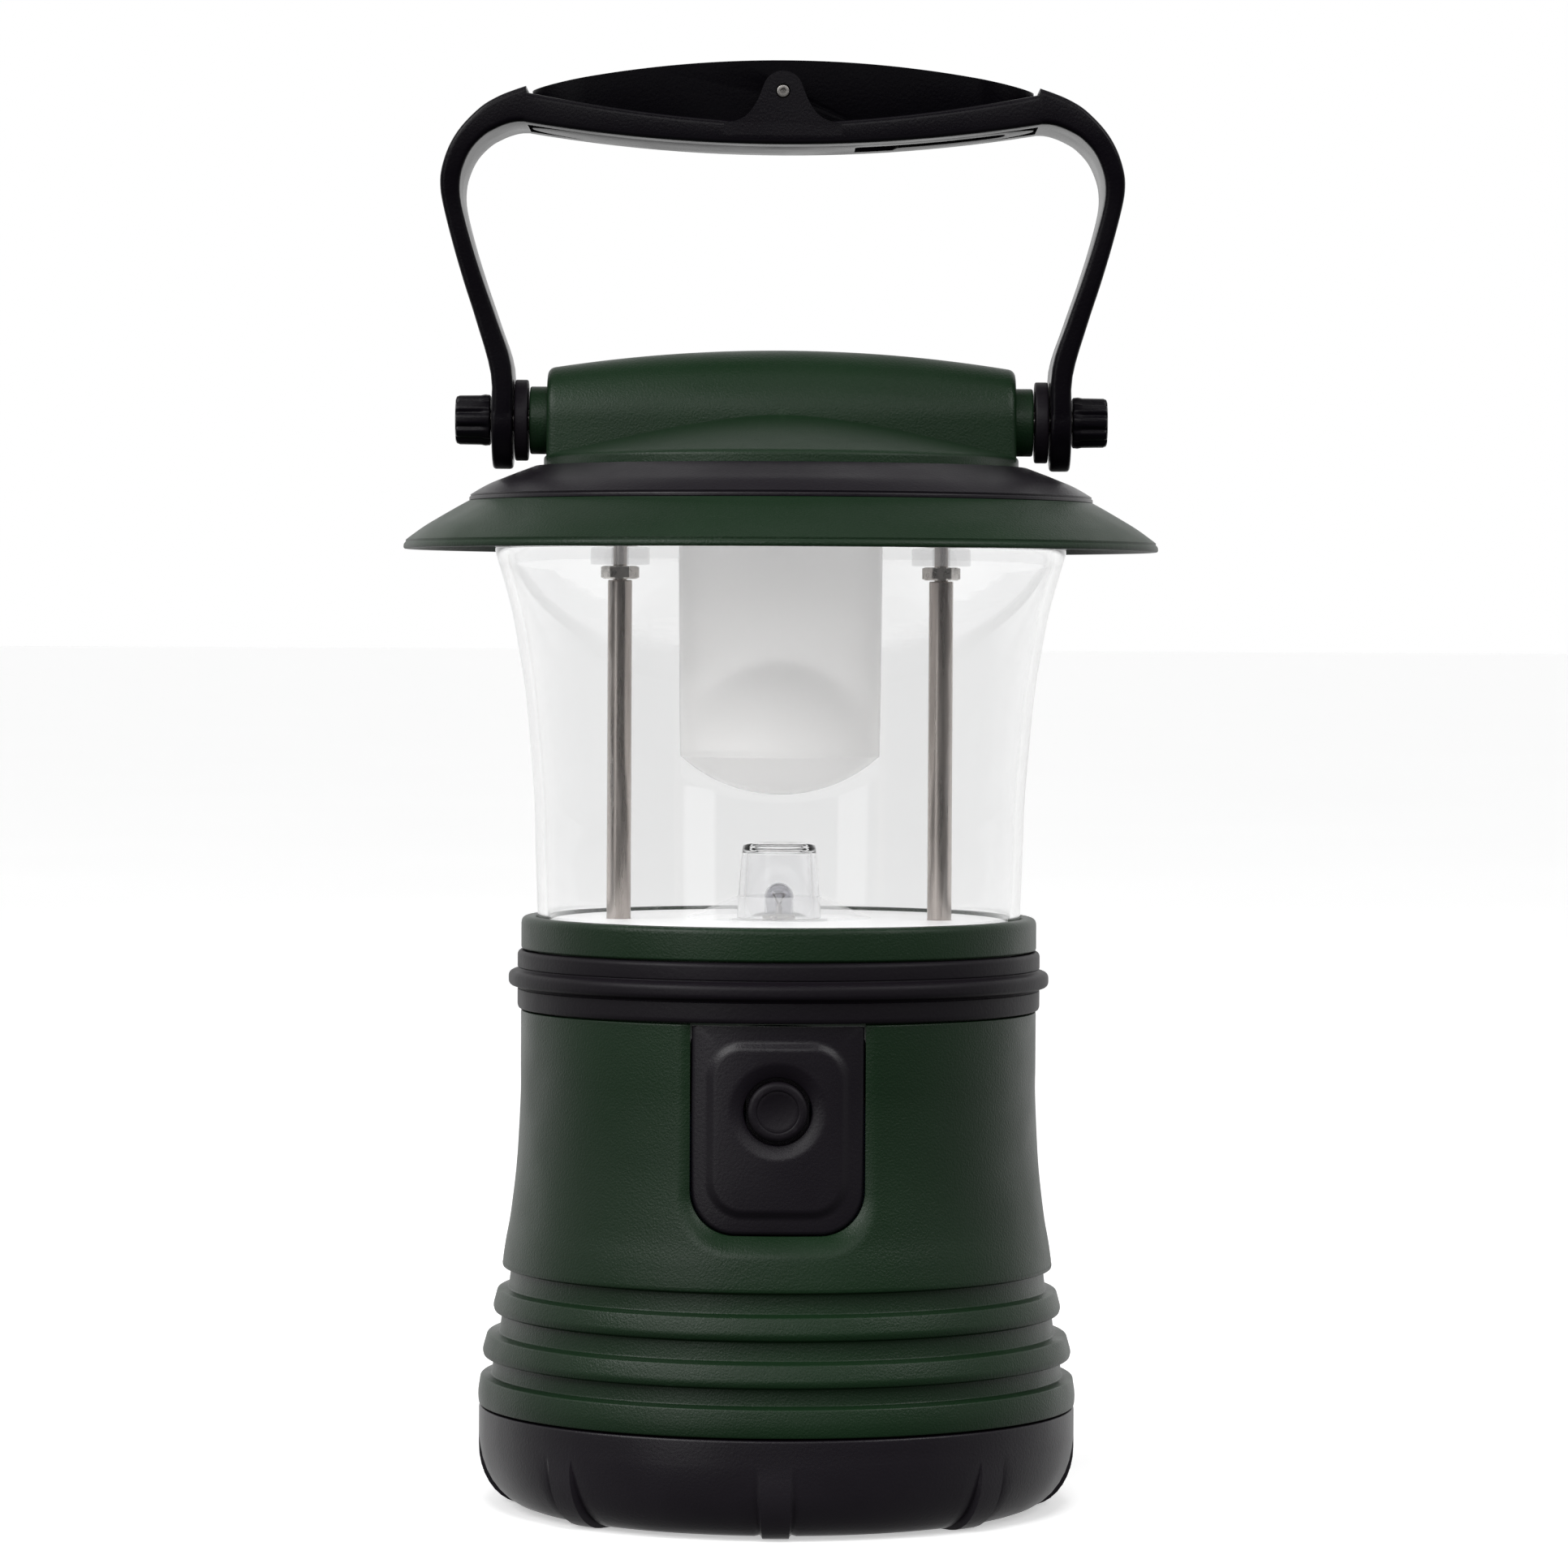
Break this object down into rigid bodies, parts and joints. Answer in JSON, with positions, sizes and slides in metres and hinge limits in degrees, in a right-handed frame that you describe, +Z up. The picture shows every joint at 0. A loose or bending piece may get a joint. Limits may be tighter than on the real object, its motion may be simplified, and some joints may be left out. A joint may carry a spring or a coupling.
{
  "type": "camping lantern",
  "caption": "Battery camping lantern with a clear flared globe, wide hood, clamped carrying bail with a fold-up hang hook and a twist-off battery base.",
  "frame": {"origin": "centre of the base on the ground plane", "axes": "+Z up along the lantern, -Y towards the switch, +X along the handle pivot to the right as seen from the switch side"},
  "size_m": [0.136, 0.136, 0.2599],
  "materials": {
    "green_plastic": "fine satin moulded plastic",
    "black_plastic": "satin moulded plastic",
    "black_rubber": "soft matt rubber",
    "clear_plastic": "polished clear plastic",
    "frosted_plastic": "frosted translucent plastic",
    "white_plastic": "white moulded plastic",
    "silvered_plastic": "vacuum-silvered plastic",
    "bright_steel": "plated steel",
    "nickel_rod": "drawn nickel-plated rod",
    "brass": "stamped contact metal",
    "contact_board": "phenolic board",
    "cell_wrap": "printed cell jacket with no lettering"
  },
  "bodies": {
    "lantern": {"housing": "green_plastic", "neck_collar": "green_plastic", "hood_brim": "green_plastic", "hood_saddle": "green_plastic", "switch_panel": "black_plastic", "hood_ring": "black_plastic", "cell_divider": "black_plastic", "hood_core": "black_plastic", "bumper_band": "black_rubber", "friction_washer_left": "black_rubber", "friction_washer_right": "black_rubber", "globe": "clear_plastic", "bulb_guard": "clear_plastic", "bulb_envelope": "clear_plastic", "diffuser": "frosted_plastic", "reflector_plate": "white_plastic", "bulb_socket": "white_plastic", "diffuser_dome": "white_plastic", "switch_body": "white_plastic", "hood_liner": "silvered_plastic", "bulb_filament": "bright_steel", "rod_top_nut_left": "bright_steel", "rod_top_nut_right": "bright_steel", "rod_base_nut_left": "bright_steel", "rod_base_nut_right": "bright_steel", "pivot_screw_left": "bright_steel", "pivot_screw_right": "bright_steel", "rod_left": "nickel_rod", "rod_right": "nickel_rod", "upper_bridge": "brass", "terminal_left": "brass", "terminal_right": "brass", "bulb_base": "brass", "battery_1": "cell_wrap", "battery_2": "cell_wrap", "battery_3": "cell_wrap", "battery_4": "cell_wrap"},
    "base_cap": {"base_cap": "black_plastic", "cap_seal": "black_rubber"},
    "contact_carrier": {"contact_disc": "contact_board", "disc_clip": "bright_steel", "lower_strip_left": "brass", "lower_strip_right": "brass", "contact_spring_1": "bright_steel", "contact_spring_2": "bright_steel", "contact_spring_3": "bright_steel", "contact_spring_4": "bright_steel"},
    "switch_button": {"switch_button": "black_rubber"},
    "bail": {"bail": "black_plastic", "hook_pin": "bright_steel"},
    "hang_hook": {"hang_hook": "black_plastic"},
    "knob_left": {"knob_left": "black_plastic"},
    "knob_right": {"knob_right": "black_plastic"}
  },
  "joints": [
    {"name": "bail_swing", "type": "hinge", "parent": "lantern", "child": "bail", "pos_m": [0, 0, 0.1956], "axis": [1, 0, 0], "range_deg": [-70, 70]},
    {"name": "hook_flip", "type": "hinge", "parent": "bail", "child": "hang_hook", "pos_m": [0, 0, 0.25395], "axis": [0, -1, 0], "range_deg": [0, 90]},
    {"name": "knob_left_turn", "type": "hinge", "parent": "lantern", "child": "knob_left", "pos_m": [-0.0555, 0, 0.1956], "axis": [-1, 0, 0], "range_deg": [-90, 180]},
    {"name": "knob_right_turn", "type": "hinge", "parent": "lantern", "child": "knob_right", "pos_m": [0.0555, 0, 0.1956], "axis": [1, 0, 0], "range_deg": [-90, 180]},
    {"name": "button_press", "type": "slide", "parent": "lantern", "child": "switch_button", "axis": [0, 1, 0], "range_m": [0, 0.0015], "stiffness_N_per_m": 800},
    {"name": "cap_travel", "type": "slide", "parent": "lantern", "child": "contact_carrier", "axis": [0, 0, -1], "range_m": [0, 0.01]},
    {"name": "cap_turn", "type": "hinge", "parent": "contact_carrier", "child": "base_cap", "pos_m": [0, 0, 0.0169], "axis": [0, 0, -1], "range_deg": [0, 450]}
  ],
  "couplings": [
    {"joint": "cap_travel", "follows": "cap_turn", "m_per_rad": 0.0012732}
  ]
}
